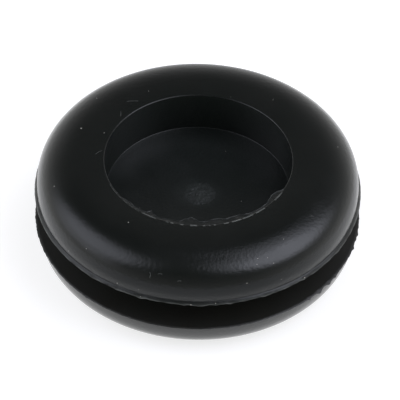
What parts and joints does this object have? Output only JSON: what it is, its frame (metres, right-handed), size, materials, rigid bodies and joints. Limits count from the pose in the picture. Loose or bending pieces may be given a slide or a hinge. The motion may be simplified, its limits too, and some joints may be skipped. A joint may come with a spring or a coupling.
{
  "type": "closed cable grommet",
  "caption": "Round closed grommet of soft black PVC: crowned flanges either side of a panel groove, with a thin membrane across the middle that a cable is pushed through.",
  "frame": {"origin": "on the axis, in the plane of the lower flange's crown, which is what the grommet stands on", "axes": "+Z along the axis, from the lower flange to the upper flange that carries the gate mark; X and Y are free, because the part is round"},
  "size_m": [0.026, 0.026, 0.0088],
  "materials": {
    "soft_pvc": "satin moulded soft PVC, black with a faint green cast"
  },
  "bodies": {
    "root": {"grommet": "soft_pvc"}
  },
  "joints": []
}
